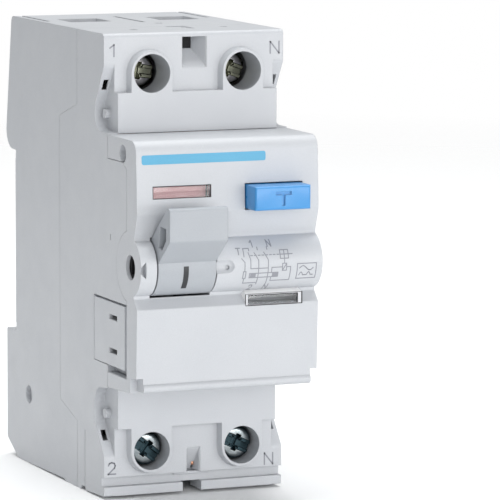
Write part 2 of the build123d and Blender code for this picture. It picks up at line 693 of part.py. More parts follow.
# ---- rail clip ----------------------------------------------------------------------
def rail_clip():
    """Sliding clip that holds the lower rail edge, with a slot for a screwdriver."""
    nose = -RAIL_SLOT + RAIL_LIP
    clip = slab(outline([
        (RAIL_GAP, nose, 0.2),
        (2.6, nose, 0.5),
        (4.4, -RAIL_SLOT - 0.6, 0.5),
        (4.4, -39.0, 0.4),
        (1.6, -40.8, 0.3),
        (RAIL_GAP, -40.8, 0),
    ]), (-6.1, 6.1))
    clip += block((-7.3, 7.3), (RAIL_GAP, 2.2), (-39.0, -RAIL_SLOT - 3.5))
    clip -= block((-2.6, 2.6), (0, 6), (-38.6, -36.6))
    clip += block((-2.0, 2.0), (-1.0, RAIL_GAP + 0.2), (-25.0, -23.6))
    return clip


def clip_spring():
    """Spring behind the clip, shown as a sleeve."""
    spring = prism_z(0, -1.4, 1.5, 16, (-32.9, -25.0))
    return spring - prism_z(0, -1.4, 1.0, 12, (-34, -24))


# ---- all nodes ----------------------------------------------------------------------
def build_nodes():
    nodes = {
        "rear_base": rear_base(),
        "front_housing": front_housing(),
        "front_cover": front_cover(),
        "side_lid": side_lid(),
        "position_window": position_window(),
        "fault_window": fault_window(),
        "toggle": toggle(),
        "drive_shaft": drive_shaft(),
        "contact_carrier": contact_carrier(),
        "carrier_pin": carrier_pin(),
        "transformer_core": transformer_core(),
        "relay_yoke": relay_yoke(),
        "relay_coil": relay_coil(),
        "relay_plunger": relay_plunger(),
        "position_flag": position_flag(),
        "fault_flag": fault_flag(),
        "test_button": test_button(),
        "test_spring": test_spring(),
        "test_contact": test_contact(),
        "test_resistor": test_resistor(),
        "rail_clip": rail_clip(),
        "clip_spring": clip_spring(),
    }
    for pole, x in (("l", -POLE), ("n", POLE)):
        nodes["line_bar_" + pole] = line_bar(x)
        nodes["load_bar_" + pole] = load_bar(x)
        nodes["fixed_tip_" + pole] = fixed_tip(x)
        nodes["moving_tip_" + pole] = moving_tip(x)
        nodes["contact_arm_" + pole] = contact_arm(x)
        nodes["primary_lead_" + pole] = primary_lead(-1 if x < 0 else 1)
        nodes["flex_braid_" + pole] = flex_braid(x)
        for row, z, head_top in (("upper", SCREW_Z[0], HEAD_TOP[0]), ("lower", SCREW_Z[1], HEAD_TOP[1])):
            end = row + "_" + pole
            nodes["clamp_frame_" + end] = clamp_frame(x, z)
            nodes["terminal_screw_" + end] = terminal_screw(x, z, head_top)
            nodes["pressure_plate_" + end] = pressure_plate(x, z, head_top)
    return nodes


os.makedirs("parts", exist_ok=True)
for name, solid in build_nodes().items():
    export_step(solid, "parts/" + name + ".step")
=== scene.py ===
import json
from collections import namedtuple
from math import atan2, hypot, pi, radians, sin

import bpy
from mathutils import Matrix, Vector

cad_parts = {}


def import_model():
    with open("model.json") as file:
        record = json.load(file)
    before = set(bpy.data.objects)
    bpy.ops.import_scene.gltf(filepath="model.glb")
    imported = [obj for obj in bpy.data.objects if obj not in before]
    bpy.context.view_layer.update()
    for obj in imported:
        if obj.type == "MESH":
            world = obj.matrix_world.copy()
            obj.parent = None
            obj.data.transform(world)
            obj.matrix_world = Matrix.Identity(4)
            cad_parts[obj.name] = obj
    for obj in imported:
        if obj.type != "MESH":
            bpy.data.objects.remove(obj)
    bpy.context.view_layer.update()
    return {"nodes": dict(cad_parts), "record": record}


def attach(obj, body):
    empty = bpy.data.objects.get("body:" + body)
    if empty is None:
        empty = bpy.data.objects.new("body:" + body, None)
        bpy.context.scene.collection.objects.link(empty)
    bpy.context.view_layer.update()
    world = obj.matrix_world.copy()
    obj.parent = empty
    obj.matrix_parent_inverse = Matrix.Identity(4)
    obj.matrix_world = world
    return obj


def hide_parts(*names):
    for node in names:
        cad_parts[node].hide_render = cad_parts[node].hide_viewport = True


MM = 0.001
MICRON = 0.000001

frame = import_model()
nodes = frame["nodes"]
scene = bpy.context.scene


# ---- camera, light and floor --------------------------------------------------------
CAMERA_AZIMUTH = -23.055
CAMERA_HEIGHT = 7.423
CAMERA_ROLL = 0.233
CAMERA_PLACE = (-277.442 * MM, -726.018 * MM, 98.555 * MM)
CAMERA_LENS = 288.458
FLOOR_Z = -42.6 * MM
FLOOR_SIZE = 12
FLOOR_COLOUR = (0.94, 0.945, 0.95, 1)
FLOOR_ROUGHNESS = 0.9
FLOOR_FADE = (0.25, 0.7)  # distances between which the floor thins out

LIGHTS = {
    # name: (place, target, size, power, colour)
    "key": ((0.35, -0.75, 0.05), (0, -0.03, 0), (0.7, 0.5), 1.5, (1.0, 0.99, 0.98)),
    "front": ((-0.1, -0.8, 0.15), (0, -0.03, 0), (0.6, 0.5), 2.4, (1.0, 1.0, 1.0)),
    "low": ((0.15, -0.55, 0.02), (0, -0.03, -0.01), (0.6, 0.08), 0.55, (1.0, 1.0, 1.0)),
    "top": ((0.0, 0.1, 0.8), (0, -0.03, 0), (0.8, 0.8), 8.2, (0.99, 1.0, 1.0)),
    "fill": ((-0.8, -0.3, 0.1), (0, -0.03, 0), (0.5, 0.8), 0.15, (0.88, 0.95, 1.0)),
}
ROOM_LIGHT = 0.4
ROOM_SEEN = 1.0  # strength of the white room where the camera sees it


def make_camera():
    data = bpy.data.cameras.new("camera")
    data.lens = CAMERA_LENS
    data.sensor_width = 36
    data.clip_start = 0.01
    camera = bpy.data.objects.new("camera", data)
    scene.collection.objects.link(camera)
    turn = Matrix.Rotation(radians(CAMERA_AZIMUTH), 4, "Z")
    tilt = Matrix.Rotation(radians(90 - CAMERA_HEIGHT), 4, "X")
    roll = Matrix.Rotation(radians(CAMERA_ROLL), 4, "Z")
    camera.matrix_world = Matrix.Translation(CAMERA_PLACE) @ turn @ tilt @ roll
    scene.camera = camera


def make_light(name, place, target, size, power, colour):
    data = bpy.data.lights.new(name, "AREA")
    data.shape = "RECTANGLE"
    data.size, data.size_y = size
    data.energy = power
    data.color = colour
    light = bpy.data.objects.new(name, data)
    scene.collection.objects.link(light)
    aim = (Vector(target) - Vector(place)).to_track_quat("-Z", "Y")
    light.matrix_world = Matrix.Translation(place) @ aim.to_matrix().to_4x4()


def make_studio():
    """Area lights, and a white room that lights the object less than it shows."""
    for name, settings in LIGHTS.items():
        make_light(name, *settings)
    world = bpy.data.worlds.new("studio")
    world.use_nodes = True
    tree = world.node_tree
    background = tree.nodes["Background"]
    background.inputs["Color"].default_value = (1.0, 1.0, 1.0, 1)
    looking = add_node(tree, "LightPath").outputs["Is Camera Ray"]
    strength = remap(tree, looking, 0.0, 1.0, ROOM_LIGHT, ROOM_SEEN)
    tree.links.new(strength, background.inputs["Strength"])
    scene.world = world
    scene.view_settings.view_transform = "Standard"


def make_floor():
    """Pale floor that thins out into the white room."""
    bpy.ops.object.select_all(action="DESELECT")
    bpy.ops.mesh.primitive_plane_add(size=FLOOR_SIZE, location=(0, 0, FLOOR_Z))
    floor = bpy.context.object
    floor.name = "floor"
    material = bpy.data.materials.new("floor_white")
    material.use_nodes = True
    tree = material.node_tree
    shader = tree.nodes["Principled BSDF"]
    shader.inputs["Base Color"].default_value = FLOOR_COLOUR
    shader.inputs["Roughness"].default_value = FLOOR_ROUGHNESS
    place = add_node(tree, "TexCoord").outputs["Object"]
    away = add_node(tree, "VectorMath", {0: place}, operation="LENGTH").outputs["Value"]
    tree.links.new(remap(tree, away, *FLOOR_FADE, 1.0, 0.0), shader.inputs["Alpha"])
    floor.data.materials.append(material)


# ---- node helpers -------------------------------------------------------------------
def add_node(tree, kind, values=(), **settings):
    """A shader node with its settings, and its inputs set to values or linked to sockets."""
    node = tree.nodes.new("ShaderNode" + kind)
    for key, value in settings.items():
        setattr(node, key, value)
    for label, value in dict(values).items():
        if isinstance(value, bpy.types.NodeSocket):
            tree.links.new(value, node.inputs[label])
        else:
            node.inputs[label].default_value = value
    return node


def use_group(tree, name):
    """One of the shared effects, placed in a material or in another effect."""
    node = tree.nodes.new("ShaderNodeGroup")
    node.node_tree = GROUPS[name]
    return node


def mix_colour(tree, factor, first, second, blend="MIX"):
    """A colour mix node's result."""
    mix = add_node(tree, "Mix", {0: factor, 6: first, 7: second}, data_type="RGBA", blend_type=blend)
    return mix.outputs[2]


def calculate(tree, operation, *values):
    """A math node's result."""
    return add_node(tree, "Math", dict(enumerate(values)), operation=operation).outputs[0]


def remap(tree, value, low, high, to_low, to_high):
    """A value moved from one range to another and kept inside it."""
    return add_node(tree, "MapRange", {0: value, 1: low, 2: high, 3: to_low, 4: to_high}).outputs[0]


def new_group(name, inputs, outputs):
    """An empty node group with named sockets."""
    group = bpy.data.node_groups.new(name, "ShaderNodeTree")
    for label, default in inputs.items():
        kind = "NodeSocketColor" if isinstance(default, tuple) else "NodeSocketFloat"
        socket = group.interface.new_socket(label, in_out="INPUT", socket_type=kind)
        socket.default_value = (*default, 1) if isinstance(default, tuple) else default
    for label, kind in outputs.items():
        group.interface.new_socket(label, in_out="OUTPUT", socket_type="NodeSocket" + kind)
    start = group.nodes.new("NodeGroupInput").outputs
    end = group.nodes.new("NodeGroupOutput").inputs
    return group, start, end


# ---- shared effects -----------------------------------------------------------------
EDGE_HIGHLIGHT_METAL = (0.85, 0.85, 0.84, 1)


def group_rounded_edges():
    """Small roundings along edges: a normal, and a mask of the edges."""
    group, given, out = new_group(
        "rounded_edges", {"Radius": 0.0003}, {"Normal": "Vector", "Edge": "Float"})
    bevel = add_node(group, "Bevel", {"Radius": given["Radius"]}, samples=6)
    shape = add_node(group, "NewGeometry")
    facing = add_node(
        group, "VectorMath", {0: bevel.outputs[0], 1: shape.outputs["Normal"]}, operation="DOT_PRODUCT")
    edge = remap(group, facing.outputs["Value"], 0.995, 0.80, 0.0, 1.0)
    group.links.new(bevel.outputs[0], out["Normal"])
    group.links.new(edge, out["Edge"])
    return group


def group_moulded_plastic():
    """Injection-moulded plastic: spark-eroded grain, cloudy tone, paler edges that are partly rubbed and
    partly a painted highlight.
    """
    group, given, out = new_group(
        "moulded_plastic",
        {"Colour": (0.5, 0.5, 0.5), "Cloud Colour": (0.4, 0.4, 0.4), "Edge Colour": (0.7, 0.7, 0.7),
         "Edge Rub And Highlight": 0.5, "Edge Radius": 0.0003, "Grain Scale": 6000.0, "Grain Height": 0.000004,
         "Roughness Low": 0.35, "Roughness High": 0.5},
        {"Colour": "Color", "Roughness": "Float", "Height": "Float", "Normal": "Vector"},
    )
    place = add_node(group, "TexCoord").outputs["Object"]
    grain = add_node(
        group, "TexNoise",
        {"Vector": place, "Scale": given["Grain Scale"], "Detail": 2.0, "Roughness": 0.6}).outputs[0]
    pit_scale = calculate(group, "MULTIPLY", given["Grain Scale"], 0.6)
    pits = add_node(group, "TexVoronoi", {"Vector": place, "Scale": pit_scale}).outputs[0]
    clouds = add_node(
        group, "TexNoise", {"Vector": place, "Scale": 60.0, "Detail": 3.0, "Roughness": 0.55}).outputs[0]
    flow = add_node(
        group, "TexNoise", {"Vector": place, "Scale": 240.0, "Detail": 4.0, "Roughness": 0.65}).outputs[0]
    rounded = use_group(group, "rounded_edges")
    group.links.new(given["Edge Radius"], rounded.inputs["Radius"])

    cloudy = remap(group, clouds, 0.35, 0.70, 0.0, 1.0)
    tone = mix_colour(group, cloudy, given["Colour"], given["Cloud Colour"])
    fleck = remap(group, grain, 0.3, 0.7, 0.96, 1.03)
    flecks = add_node(group, "CombineColor", {0: fleck, 1: fleck, 2: fleck}).outputs[0]
    tone = mix_colour(group, 1.0, tone, flecks, "MULTIPLY")
    patchy = remap(group, flow, 0.40, 0.62, 0.35, 1.0)
    # paler edges: partly rubbed, partly a painted highlight along the edges
    rub_and_highlight_mask = calculate(group, "MULTIPLY", rounded.outputs["Edge"], patchy)
    rub_and_highlight_mask = calculate(group, "MULTIPLY", rub_and_highlight_mask, given["Edge Rub And Highlight"])
    spread = remap(group, flow, 0.3, 0.7, given["Roughness Low"], given["Roughness High"])
    smooth = calculate(group, "MULTIPLY", rub_and_highlight_mask, 0.12)
    relief = calculate(group, "ADD", grain, calculate(group, "MULTIPLY", pits, 0.5))

    group.links.new(mix_colour(group, rub_and_highlight_mask, tone, given["Edge Colour"]), out["Colour"])
    group.links.new(calculate(group, "SUBTRACT", spread, smooth), out["Roughness"])
    group.links.new(calculate(group, "MULTIPLY", relief, given["Grain Height"]), out["Height"])
    group.links.new(rounded.outputs["Normal"], out["Normal"])
    return group


def group_worked_metal():
    """Drawn, plated or stamped metal: lines along one axis, tarnish in clouds, a painted highlight along the
    edges.
    """
    group, given, out = new_group(
        "worked_metal",
        {"Colour": (0.6, 0.6, 0.6), "Tarnish Colour": (0.4, 0.4, 0.4), "Tarnish": 0.5,
         "Edge Radius": 0.0002, "Lines Across": 4000.0, "Lines Along": 150.0, "Line Height": 0.000004,
         "Roughness Low": 0.2, "Roughness High": 0.4},
        {"Colour": "Color", "Roughness": "Float", "Height": "Float", "Normal": "Vector"},
    )
    place = add_node(group, "TexCoord").outputs["Object"]
    stretch = add_node(
        group, "CombineXYZ",
        {0: given["Lines Across"], 1: given["Lines Along"], 2: given["Lines Across"]}).outputs[0]
    along = add_node(group, "VectorMath", {0: place, 1: stretch}, operation="MULTIPLY").outputs[0]
    lines = add_node(group, "TexNoise", {"Vector": along, "Scale": 1.0, "Detail": 2.0}).outputs[0]
    clouds = add_node(
        group, "TexNoise", {"Vector": place, "Scale": 500.0, "Detail": 4.0, "Roughness": 0.6}).outputs[0]
    rounded = use_group(group, "rounded_edges")
    group.links.new(given["Edge Radius"], rounded.inputs["Radius"])

    patchy = remap(group, clouds, 0.4, 0.7, 0.0, 1.0)
    dulled = calculate(group, "MULTIPLY", patchy, given["Tarnish"])
    tone = mix_colour(group, dulled, given["Colour"], given["Tarnish Colour"])
    # painted highlight: a paler colour along the edges
    edge_highlight = calculate(group, "MULTIPLY", rounded.outputs["Edge"], 0.35)
    line_share = calculate(group, "MULTIPLY", lines, 0.6)
    cloud_share = calculate(group, "MULTIPLY", clouds, 0.4)
    mixed = calculate(group, "ADD", line_share, cloud_share)

    group.links.new(mix_colour(group, edge_highlight, tone, EDGE_HIGHLIGHT_METAL), out["Colour"])
    group.links.new(
        remap(group, mixed, 0.3, 0.7, given["Roughness Low"], given["Roughness High"]), out["Roughness"])
    group.links.new(calculate(group, "MULTIPLY", lines, given["Line Height"]), out["Height"])
    group.links.new(rounded.outputs["Normal"], out["Normal"])
    return group


def group_wound_turns():
    """Fine wound or woven turns: a height, and a mask of the gaps between them for painted shade."""
    group, given, out = new_group(
        "wound_turns", {"X": 0.0, "Y": 0.0, "Z": 4000.0, "Wander": 0.4}, {"Height": "Float", "Gap Shade": "Float"})
    place = add_node(group, "TexCoord").outputs["Object"]
    scale = add_node(group, "CombineXYZ", {0: given["X"], 1: given["Y"], 2: given["Z"]}).outputs[0]
    counted = add_node(group, "VectorMath", {0: place, 1: scale}, operation="DOT_PRODUCT").outputs["Value"]
    wobble = add_node(group, "TexNoise", {"Vector": place, "Scale": 900.0, "Detail": 1.0}).outputs[0]
    angle = calculate(group, "ADD", counted, calculate(group, "MULTIPLY", wobble, given["Wander"]))
    height = calculate(group, "ABSOLUTE", calculate(group, "SINE", angle))
    group.links.new(height, out["Height"])
    group.links.new(remap(group, height, 0.45, 0.05, 0.0, 1.0), out["Gap Shade"])
    return group


GROUPS = {}
for make_group in (group_rounded_edges, group_moulded_plastic, group_worked_metal, group_wound_turns):
    shared_effect = make_group()
    GROUPS[shared_effect.name] = shared_effect


# ---- materials ----------------------------------------------------------------------
PLASTIC_IOR = 1.5
METAL_EDGE = 0.15
Finish = namedtuple("Finish", "material tree shader effect relief")


def start_finish(name, effect_name, values):
    """A material whose shader takes colour, roughness and relief from a shared effect."""
    material = bpy.data.materials.new(name)
    material.use_nodes = True
    tree = material.node_tree
    shader = tree.nodes["Principled BSDF"]
    effect = use_group(tree, effect_name)
    for label, value in values.items():
        effect.inputs[label].default_value = (*value, 1) if isinstance(value, tuple) else value
    relief = add_node(
        tree, "Bump",
        {"Height": effect.outputs["Height"], "Normal": effect.outputs["Normal"], "Distance": 1.0})
    tree.links.new(effect.outputs["Colour"], shader.inputs["Base Color"])
    tree.links.new(effect.outputs["Roughness"], shader.inputs["Roughness"])
    tree.links.new(relief.outputs[0], shader.inputs["Normal"])
    return Finish(material, tree, shader, effect, relief)


def add_turns(finish, direction, dark, height, wander=0.4):
    """Wound turns on top of a finish, with painted shade darkening the gaps between them. Height is in
    thousandths of a mm.
    """
    tree = finish.tree
    turns = use_group(tree, "wound_turns")
    for label, value in zip("XYZ", direction):
        turns.inputs[label].default_value = value
    turns.inputs["Wander"].default_value = wander
    tone = mix_colour(tree, turns.outputs["Gap Shade"], finish.effect.outputs["Colour"], (*dark, 1))
    tree.links.new(tone, finish.shader.inputs["Base Color"])
    raised = calculate(tree, "MULTIPLY", turns.outputs["Height"], height * MICRON)
    total = calculate(tree, "ADD", raised, finish.effect.outputs["Height"])
    tree.links.new(total, finish.relief.inputs["Height"])


def add_zone(finish, axis, low, high, colour):
    """A second colour, which comes in from one place to another along an axis, in mm."""
    tree, base = finish.tree, finish.shader.inputs["Base Color"]
    place = add_node(tree, "SeparateXYZ", {0: add_node(tree, "TexCoord").outputs["Object"]})
    share = remap(tree, place.outputs[axis], low * MM, high * MM, 0.0, 1.0)
    tree.links.new(mix_colour(tree, share, base.links[0].from_socket, (*colour, 1)), base)


def plastic(name, colour, cloud, edge, rub_and_highlight=0.5, radius=0.3, grain=6000.0, height=4.0,
            rough=(0.36, 0.46), zone=None, shader=None):
    """Moulded plastic. Radius is in mm, and height in thousandths of a mm."""
    finish = start_finish(name, "moulded_plastic", {
        "Colour": colour, "Cloud Colour": cloud, "Edge Colour": edge, "Edge Rub And Highlight": rub_and_highlight,
        "Edge Radius": radius * MM, "Grain Scale": grain, "Grain Height": height * MICRON,
        "Roughness Low": rough[0], "Roughness High": rough[1],
    })
    for label, value in {"IOR": PLASTIC_IOR, **(shader or {})}.items():
        finish.shader.inputs[label].default_value = value
    if zone:
        add_zone(finish, *zone)
    return finish.material


def metal(name, colour, tarnish, amount=0.5, lines=(4000.0, 150.0), height=3.0, rough=(0.2, 0.4),
          zone=None, turns=None):
    """Worked metal. Height is in thousandths of a mm."""
    finish = start_finish(name, "worked_metal", {
        "Colour": colour, "Tarnish Colour": tarnish, "Tarnish": amount, "Edge Radius": METAL_EDGE * MM,
        "Lines Across": lines[0], "Lines Along": lines[1], "Line Height": height * MICRON,
        "Roughness Low": rough[0], "Roughness High": rough[1],
    })
    finish.shader.inputs["Metallic"].default_value = 1.0
    if zone:
        add_zone(finish, *zone)
    if turns:
        add_turns(finish, **turns)
    return finish.material


PLASTICS = {
    "housing_grey": dict(
        colour=(0.480, 0.495, 0.520), cloud=(0.462, 0.478, 0.505), edge=(0.60, 0.61, 0.63),
        rub_and_highlight=0.55, radius=0.22),
    "toggle_grey": dict(
        colour=(0.346, 0.366, 0.393), cloud=(0.334, 0.354, 0.382), edge=(0.46, 0.48, 0.51), radius=0.25),
    "clip_plastic": dict(
        colour=(0.42, 0.435, 0.46), cloud=(0.39, 0.41, 0.44), edge=(0.56, 0.57, 0.59), grain=4500.0),
    # near-black plastic; also the colour of the rings, strip and blocks that stand in for shade in gaps and
    # holes, as painted shade
    "dark_plastic": dict(
        colour=(0.012, 0.012, 0.013), cloud=(0.018, 0.018, 0.020), edge=(0.05, 0.05, 0.05),
        rough=(0.45, 0.6), shader={"Specular IOR Level": 0.1}),
    "button_blue": dict(
        colour=(0.043, 0.255, 0.575), cloud=(0.037, 0.235, 0.540), edge=(0.30, 0.52, 0.78),
        rub_and_highlight=0.6, radius=0.25, height=2.0, rough=(0.26, 0.36),
        shader={"Coat Weight": 0.25, "Coat Roughness": 0.2}),
    # red while the contacts are closed, green above for open
    "flag_red": dict(
        colour=(0.84, 0.40, 0.40), cloud=(0.78, 0.36, 0.37), edge=(0.88, 0.5, 0.5), radius=0.1,
        zone=("Z", 17.16, 17.24, (0.10, 0.40, 0.16))),
    # grey at rest, red below for a fault
    "flag_dark": dict(
        colour=(0.30, 0.305, 0.325), cloud=(0.32, 0.325, 0.345), edge=(0.4, 0.4, 0.42), radius=0.1,
        zone=("Z", -5.46, -5.54, (0.62, 0.07, 0.04))),
    "core_blue": dict(
        colour=(0.05, 0.10, 0.22), cloud=(0.04, 0.08, 0.17), edge=(0.2, 0.3, 0.45),
        grain=2500.0, height=10.0),
    "resistor_body": dict(
        colour=(0.42, 0.33, 0.20), cloud=(0.36, 0.28, 0.17), edge=(0.55, 0.47, 0.35),
        grain=3000.0, height=8.0),
    "clear_window": dict(
        colour=(0.93, 0.95, 0.96), cloud=(0.90, 0.93, 0.95), edge=(1.0, 1.0, 1.0),
        rub_and_highlight=0.2, radius=0.12, height=0.05, rough=(0.05, 0.10),
        shader={"Transmission Weight": 1.0, "IOR": 1.49}),
    # painted light: darker on its front face, paler behind it on the top face, which lies in the shade of
    # the bulge above
    "clear_frame": dict(
        colour=(0.62, 0.63, 0.65), cloud=(0.60, 0.61, 0.64), edge=(0.80, 0.80, 0.82),
        rub_and_highlight=0.4, radius=0.1, height=0.5, rough=(0.36, 0.46),
        zone=("Y", -64.26, -64.18, (0.97, 0.975, 0.98)), shader={"Transmission Weight": 0.1}),
    "print_grey": dict(
        colour=(0.215, 0.222, 0.250), cloud=(0.235, 0.242, 0.270), edge=(0.3, 0.31, 0.33),
        rub_and_highlight=0.2, radius=0.02),
    "print_black": dict(
        colour=(0.018, 0.019, 0.022), cloud=(0.026, 0.027, 0.031), edge=(0.15, 0.15, 0.16),
        rub_and_highlight=0.2, radius=0.02),
    "print_blue": dict(
        colour=(0.070, 0.320, 0.505), cloud=(0.080, 0.335, 0.515), edge=(0.35, 0.65, 0.85),
        rub_and_highlight=0.2, radius=0.02),
}
METALS = {
    "zinc_steel": dict(colour=(0.62, 0.63, 0.66), tarnish=(0.42, 0.46, 0.52), rough=(0.16, 0.34)),
    # the two screw coats are darker below the face of the head: painted shade for the shaded clearance round
    # the head
    "screw_olive": dict(
        colour=(0.40, 0.39, 0.40), tarnish=(0.10, 0.09, 0.10), amount=0.7, lines=(1500.0, 1500.0),
        height=8.0, rough=(0.14, 0.30), zone=("Y", -42.38, -42.26, (0.185, 0.190, 0.145))),
    "screw_blue": dict(
        colour=(0.34, 0.37, 0.38), tarnish=(0.10, 0.13, 0.15), amount=0.7, lines=(1500.0, 1500.0),
        height=8.0, rough=(0.14, 0.30), zone=("Y", -46.58, -46.46, (0.034, 0.056, 0.066))),
    "spring_steel": dict(colour=(0.50, 0.51, 0.53), tarnish=(0.35, 0.35, 0.36)),
    "copper": dict(colour=(0.78, 0.42, 0.27), tarnish=(0.45, 0.20, 0.12), lines=(3000.0, 120.0)),
    "silver_contact": dict(colour=(0.80, 0.80, 0.78), tarnish=(0.55, 0.53, 0.48), rough=(0.15, 0.3)),
    # the darker gaps between the turns of the winding and of the braid are painted shade
    "winding": dict(
        colour=(0.60, 0.24, 0.08), tarnish=(0.42, 0.14, 0.05), lines=(900.0, 900.0), rough=(0.25, 0.4),
        turns=dict(direction=(0.0, 0.0, 12000.0), dark=(0.10, 0.03, 0.01), height=60.0)),
    "braided_copper": dict(
        colour=(0.78, 0.42, 0.27), tarnish=(0.45, 0.20, 0.12), lines=(900.0, 900.0),
        turns=dict(direction=(7000.0, 5000.0, 7000.0), dark=(0.12, 0.05, 0.03), height=50.0, wander=1.0)),
}
MATERIALS = {name: plastic(name, **settings) for name, settings in PLASTICS.items()}
MATERIALS.update({name: metal(name, **settings) for name, settings in METALS.items()})
OTHER_FINISH = {"flex_braid_l": "braided_copper", "flex_braid_n": "braided_copper"}


def dress_cad_nodes():
    """Give every CAD node the material of its slot."""
    for part in frame["record"]["subparts"]:
        name = OTHER_FINISH.get(part["node"], part["material_slot"])
        for place in nodes[part["node"]].material_slots:
            place.material = MATERIALS[name]


# ---- modelling helpers --------------------------------------------------------------
SPARE = 1  # how far a cutter reaches past the front and back of what it cuts, in mm
NEAR = 0.01  # how near to a place a test still finds a face or an edge, in mm


def clear_selection():
    if bpy.context.mode != "OBJECT":
        bpy.ops.object.mode_set(mode="OBJECT")
    bpy.ops.object.select_all(action="DESELECT")


def pick(piece):
    """Select one piece and nothing else."""
    clear_selection()
    piece.select_set(True)
    bpy.context.view_layer.objects.active = piece


def settle(name, size=None):
    """Size the active object, name it, and put its place into its mesh."""
    if size:
        bpy.context.object.scale = size
    bpy.ops.object.transform_apply(location=True, rotation=True, scale=True)
    piece = bpy.context.object
    piece.name = name
    piece.data.name = name
    return piece


def start_box(name, x, y, z):
    """A box between two limits on each axis, in mm."""
    clear_selection()
    size = [(high - low) * MM for low, high in (x, y, z)]
    centre = [(high + low) / 2 * MM for low, high in (x, y, z)]
    bpy.ops.mesh.primitive_cube_add(size=1, location=centre)
    return settle(name, size)


def choose(piece, faces=None, edges=None, corners=None):
    """Go into edit mode with the faces, edges or corners selected that a test picks."""
    bpy.ops.object.mode_set(mode="EDIT")
    bpy.ops.mesh.select_mode(type="FACE" if faces else "EDGE" if edges else "VERT")
    bpy.ops.mesh.select_all(action="DESELECT")
    bpy.ops.object.mode_set(mode="OBJECT")
    mesh = piece.data
    if faces:
        for face in mesh.polygons:
            face.select = faces(face.center / MM, face.normal)
    elif corners:
        for corner in mesh.vertices:
            corner.select = corners(corner.co / MM)
    else:
        for edge in mesh.edges:
            first, second = (mesh.vertices[index].co / MM for index in edge.vertices)
            edge.select = edges(first, second)
    bpy.ops.object.mode_set(mode="EDIT")


def facing_back(place, normal):
    """A test for the faces that look backwards."""
    return normal.y > 0.9


def before(y):
    """A test for the edges that lie in front of a place along Y, in mm."""
    return lambda first, second: first.y < y and second.y < y


def beyond(y):
    """A test for the edges that lie behind a place along Y, in mm."""
    return lambda first, second: first.y > y and second.y > y


def pull(*way):
    """Extrude what is selected by a distance in mm."""
    bpy.ops.mesh.extrude_region_move(TRANSFORM_OT_translate={"value": [step * MM for step in way]})


def widen(factors, centre):
    """Scale what is selected about a point in mm."""
    bpy.ops.transform.resize(value=factors, center_override=[place * MM for place in centre])


def shift(piece, corners, way):
    """Move the corners that a test picks by a distance in mm."""
    choose(piece, corners=corners)
    bpy.ops.transform.translate(value=[step * MM for step in way])
    bpy.ops.object.mode_set(mode="OBJECT")


def soften(piece, edges, radius, steps):
    """Round the edges that a test picks, with a radius in mm."""
    choose(piece, edges=edges)
    bpy.ops.mesh.bevel(offset=radius * MM, segments=steps, affect="EDGES")
    bpy.ops.object.mode_set(mode="OBJECT")


def use_modifier(piece, kind, **settings):
    """Add a modifier and apply it."""
    pick(piece)
    modifier = piece.modifiers.new(kind.lower(), kind)
    for key, value in settings.items():
        setattr(modifier, key, value)
    bpy.ops.object.modifier_apply(modifier=modifier.name)


def carve(piece, cutter):
    """Cut one shape out of a piece."""
    use_modifier(piece, "BOOLEAN", operation="DIFFERENCE", solver="EXACT", object=cutter)
    bpy.data.objects.remove(cutter)


def finish_piece(piece, material, body="housing", replaced=(), angle=30):
    """Smooth a piece, give it its material, and let it ride on its body."""
    pick(piece)
    bpy.ops.object.shade_smooth_by_angle(angle=radians(angle))
    piece.data.materials.clear()
    piece.data.materials.append(MATERIALS[material])
    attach(piece, body)
    if replaced:
        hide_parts(*replaced)


# ---- clamp screws -------------------------------------------------------------------
HEAD_RADIUS = 3.2
HEAD_LENGTH = 3.0
HEAD_SHOULDER = 0.85
HEAD_SIDES = 40
FACE_INSET = 0.9
FACE_DISH = 0.06
SHANK_RADIUS = 2.5
THREAD_ROOT = 2.12
THREAD_PITCH = 0.8
THREAD_TURNS = 31
TIP_LENGTH = 0.4
TIP_TAPER = 0.8
RECESS_TAPER = 0.8
RECESS_ARMS = [
    # turn, reach, width, depth: a wide shallow way, the slot, the cross arm and small nicks
    (0, 4.2, 2.9, 0.35), (0, 4.2, 1.35, 1.25), (90, 1.75, 1.2, 1.9), (45, 1.6, 0.3, 1.1),
    (135, 1.6, 0.3, 1.1),
]
SCREWS = {
    # name: (x, head front, z, turn, coat)
    "upper_l": (-9.0, -42.4, 36.1, 8, "screw_olive"),
    "upper_n": (9.0, -42.4, 36.1, 20, "screw_olive"),
    "lower_l": (-9.0, -46.6, -33.7, 38, "screw_blue"),
    "lower_n": (9.0, -46.6, -33.7, 24, "screw_blue"),
}


def start_screw_head():
    """A cylinder along Y from the origin."""
    clear_selection()
    bpy.ops.mesh.primitive_cylinder_add(
        vertices=HEAD_SIDES, radius=HEAD_RADIUS * MM, depth=HEAD_LENGTH * MM,
        location=(0, HEAD_LENGTH / 2 * MM, 0), rotation=(radians(90), 0, 0),
    )
    return settle("clamp_screw")


def carve_recess(screw):
    """Sink the slot and the cross recess into the head."""
    for turn, reach, thickness, depth in RECESS_ARMS:
        arm = start_box("arm_cutter", (-reach, reach), (-SPARE, depth), (-thickness / 2, thickness / 2))
        arm.rotation_euler = (0, radians(turn), 0)
        pick(arm)
        bpy.ops.object.transform_apply(rotation=True)
        choose(arm, faces=facing_back)
        widen((RECESS_TAPER, 1, RECESS_TAPER), (0, depth, 0))
        bpy.ops.object.mode_set(mode="OBJECT")
        carve(screw, arm)


